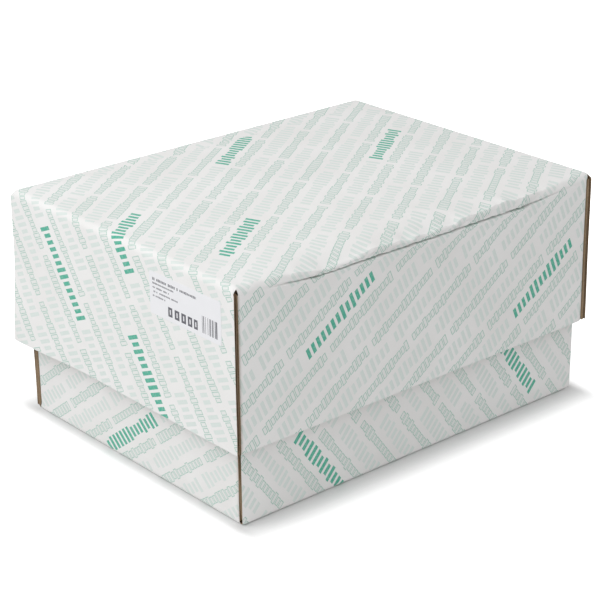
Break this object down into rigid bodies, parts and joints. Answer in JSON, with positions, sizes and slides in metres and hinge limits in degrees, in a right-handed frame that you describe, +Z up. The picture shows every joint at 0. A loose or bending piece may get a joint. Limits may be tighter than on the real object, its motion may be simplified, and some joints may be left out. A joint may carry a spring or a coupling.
{
  "type": "carton of continuous form paper",
  "caption": "Closed telescoping corrugated carton: a printed lid tray slides up off a base tray that holds a stack of fanfold paper with tractor holes.",
  "frame": {"origin": "on the floor, under the middle of the carton", "axes": "+Z up, +X along the long walls away from the label, +Y along the short walls, away from the crushed long edge of the lid"},
  "size_m": [0.409, 0.3112, 0.2121],
  "materials": {
    "board": "white-lined corrugated board, kraft inside",
    "form_paper": "uncoated listing paper, folded to and fro",
    "label_paper": "smooth self-adhesive label",
    "label_ink": "matt print on the label",
    "ink_pale": "pale grey green print on the liner",
    "ink_mid": "mid green print on the liner",
    "ink_bold": "strong green print on the liner"
  },
  "bodies": {
    "carton_base": {"base": "board", "paper_stack": "form_paper", "base_print_pale": "ink_pale", "base_print_mid": "ink_mid", "base_print_bold": "ink_bold"},
    "carton_lid": {"lid": "board", "label": "label_paper", "label_print": "label_ink", "lid_print_pale": "ink_pale", "lid_print_mid": "ink_mid", "lid_print_bold": "ink_bold"}
  },
  "joints": [
    {"name": "lid_lift", "type": "slide", "parent": "carton_base", "child": "carton_lid", "axis": [0, 0, 1], "range_m": [0, 0.16]}
  ]
}
